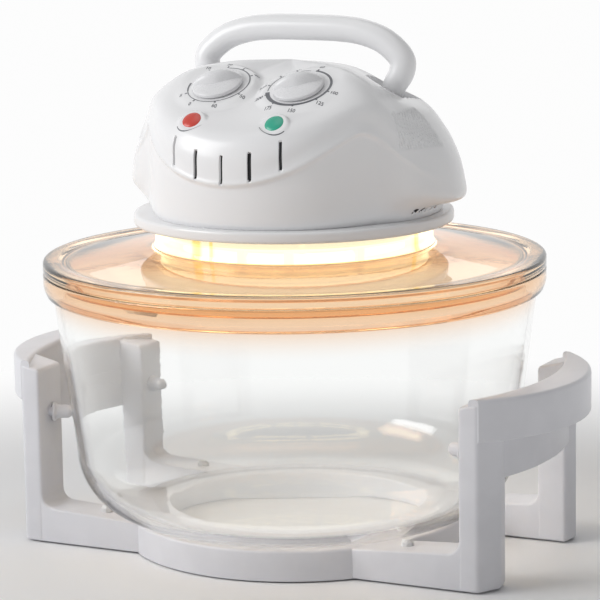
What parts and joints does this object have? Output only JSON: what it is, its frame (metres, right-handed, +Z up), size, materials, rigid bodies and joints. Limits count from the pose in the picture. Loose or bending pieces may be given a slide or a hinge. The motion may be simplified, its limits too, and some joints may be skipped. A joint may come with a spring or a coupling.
{
  "type": "turbo convection oven",
  "caption": "Countertop convection oven: round glass bowl in a carrying stand under a lift-off glass lid with a powered head, fan, ring lamp, knobs and a folding arch handle.",
  "frame": {"origin": "on the bowl's axis, at the level of the feet", "axes": "+Z up; +X to the right-hand handle frame as one faces the knobs; the knobs and the front face -Y"},
  "size_m": [0.4, 0.33, 0.3474],
  "materials": {
    "white_plastic": "glossy white moulded plastic",
    "glass": "clear oven glass",
    "steel": "bright sheet steel and screws",
    "rubber": "pale grey rubber",
    "silicone": "orange-red silicone",
    "lamp": "lit quartz lamp tube",
    "ceramic": "off-white ceramic",
    "motor": "dark grey motor case",
    "dark_plastic": "dark moulded plastic",
    "black_plastic": "black moulded plastic",
    "red_plastic": "red moulded plastic",
    "red_lens": "red lamp lens",
    "green_lens": "green lamp lens"
  },
  "bodies": {
    "stand": {"stand_ring": "white_plastic", "handle_frame_right": "white_plastic", "handle_frame_left": "white_plastic", "frame_screw_1": "steel", "frame_screw_2": "steel", "frame_screw_3": "steel", "frame_screw_4": "steel", "foot_pad_1": "rubber", "foot_pad_2": "rubber", "foot_pad_3": "rubber", "foot_pad_4": "rubber", "bowl_peg_1": "white_plastic", "bowl_peg_2": "white_plastic", "bowl_peg_3": "white_plastic", "bowl_peg_4": "white_plastic", "bowl_pad_1": "rubber", "bowl_pad_2": "rubber", "bowl_pad_3": "rubber", "bowl_pad_4": "rubber"},
    "bowl": {"glass_bowl": "glass"},
    "head": {"glass_lid": "glass", "lid_seal": "silicone", "head_base": "white_plastic", "front_cover": "white_plastic", "rear_cover": "white_plastic", "heat_plate": "steel", "plate_screw_1": "steel", "plate_screw_2": "steel", "plate_screw_3": "steel", "cover_screw_1": "steel", "cover_screw_2": "steel", "cover_screw_3": "steel", "cover_screw_4": "steel", "lamp_ring": "lamp", "lamp_block": "ceramic", "lamp_clip_1": "ceramic", "lamp_clip_2": "ceramic", "lamp_clip_3": "ceramic", "lamp_guard": "steel", "motor": "motor", "motor_bracket": "steel", "timer_body": "dark_plastic", "thermostat_body": "dark_plastic", "power_lens": "red_lens", "heat_lens": "green_lens", "handle_pin_right": "steel", "handle_pin_left": "steel", "handle_switch": "dark_plastic", "mains_inlet": "black_plastic"},
    "handle": {"arch_handle": "white_plastic"},
    "timer_control": {"timer_knob": "white_plastic", "timer_shaft": "steel"},
    "thermostat_control": {"thermostat_knob": "white_plastic", "thermostat_shaft": "steel"},
    "fan": {"motor_shaft": "steel", "convection_fan": "steel", "cooling_fan": "dark_plastic"},
    "plunger": {"switch_plunger": "red_plastic"}
  },
  "joints": [
    {"name": "bowl_lift", "type": "slide", "parent": "stand", "child": "bowl", "axis": [0, 0, 1], "range_m": [0, 0.15]},
    {"name": "head_lift", "type": "slide", "parent": "bowl", "child": "head", "axis": [0, 0, 1], "range_m": [0, 0.15]},
    {"name": "handle_fold", "type": "hinge", "parent": "head", "child": "handle", "pos_m": [0, 0.014, 0.2885], "axis": [-1, 0, 0], "range_deg": [0, 48]},
    {"name": "timer_turn", "type": "hinge", "parent": "head", "child": "timer_control", "pos_m": [-0.0287, -0.047, 0.30377], "axis": [0, -0.4337, 0.9011], "range_deg": [-150, 150]},
    {"name": "thermostat_turn", "type": "hinge", "parent": "head", "child": "thermostat_control", "pos_m": [0.0287, -0.047, 0.30377], "axis": [0, -0.4337, 0.9011], "range_deg": [-135, 135]},
    {"name": "fan_spin", "type": "hinge", "parent": "head", "child": "fan", "pos_m": [0, 0, 0.23], "axis": [0, 0, 1], "continuous": true},
    {"name": "plunger_press", "type": "slide", "parent": "head", "child": "plunger", "axis": [0, 0, -1], "range_m": [0, 0.0035]}
  ],
  "couplings": [
    {"joint": "plunger_press", "follows": "handle_fold", "m_per_rad": 0.004058}
  ]
}
